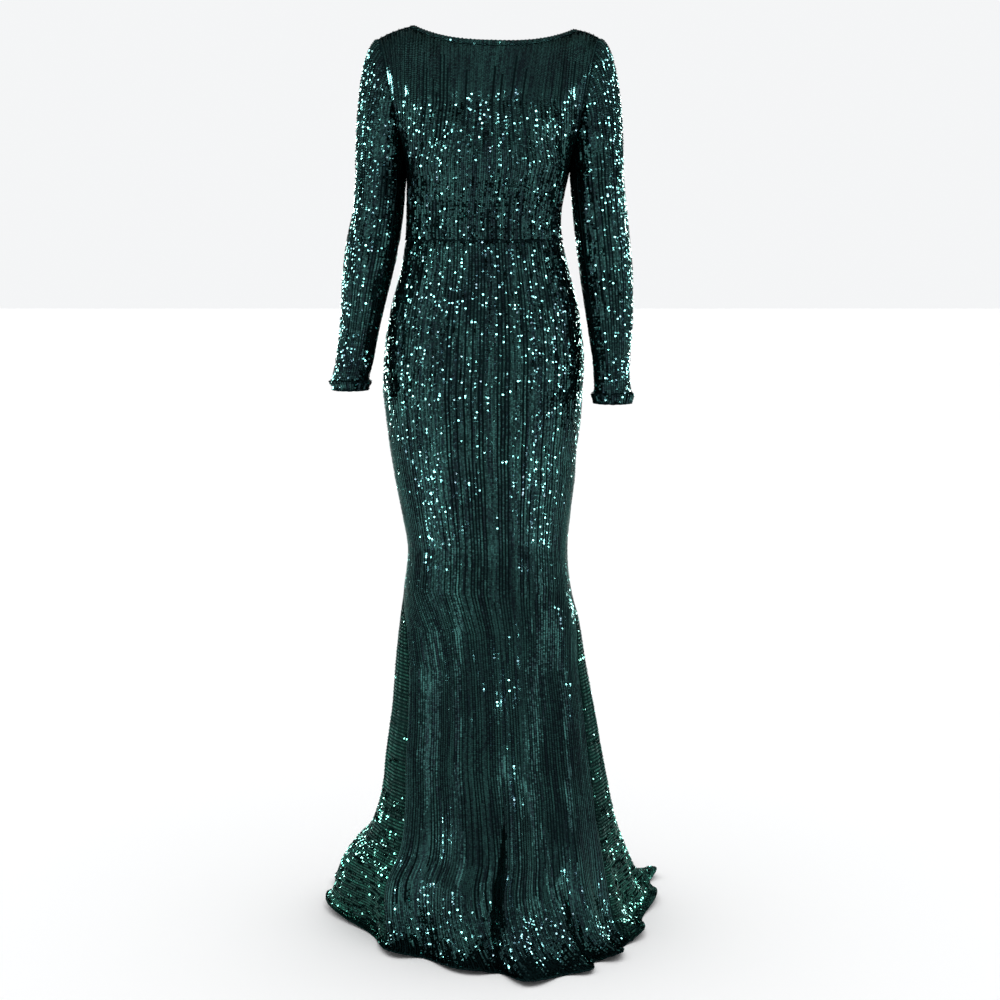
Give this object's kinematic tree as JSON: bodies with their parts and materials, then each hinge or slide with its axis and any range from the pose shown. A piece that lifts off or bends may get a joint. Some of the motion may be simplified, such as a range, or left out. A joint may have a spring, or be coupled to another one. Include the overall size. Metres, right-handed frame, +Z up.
{
  "type": "evening gown",
  "caption": "Floor-length trumpet evening gown in ribbed sequin stretch cloth, with a boat neck, long set-in sleeves, side godets and a ruffled hem with a short train, in its hollow worn form.",
  "frame": {"origin": "between the two neck and shoulder corners, where the wearer's shoulders carry the gown", "axes": "+Z up along the standing gown, the front faces -Y, +X to the right as seen from the front"},
  "size_m": [0.5758, 0.7265, 1.461],
  "materials": {
    "sequin_cloth": "ribbed stretch mesh covered with rows of small glossy dark green sequins",
    "godet_cloth": "the same sequin stretch mesh cut across, with its rows nearly level and a smoother satin look"
  },
  "bodies": {
    "root": {"front_bodice": "sequin_cloth", "back_bodice_left": "sequin_cloth", "back_bodice_right": "sequin_cloth", "sleeve_left": "sequin_cloth", "sleeve_right": "sequin_cloth", "front_skirt": "sequin_cloth", "back_skirt_left": "sequin_cloth", "back_skirt_right": "sequin_cloth", "godet_left": "godet_cloth", "godet_right": "godet_cloth"}
  },
  "joints": []
}
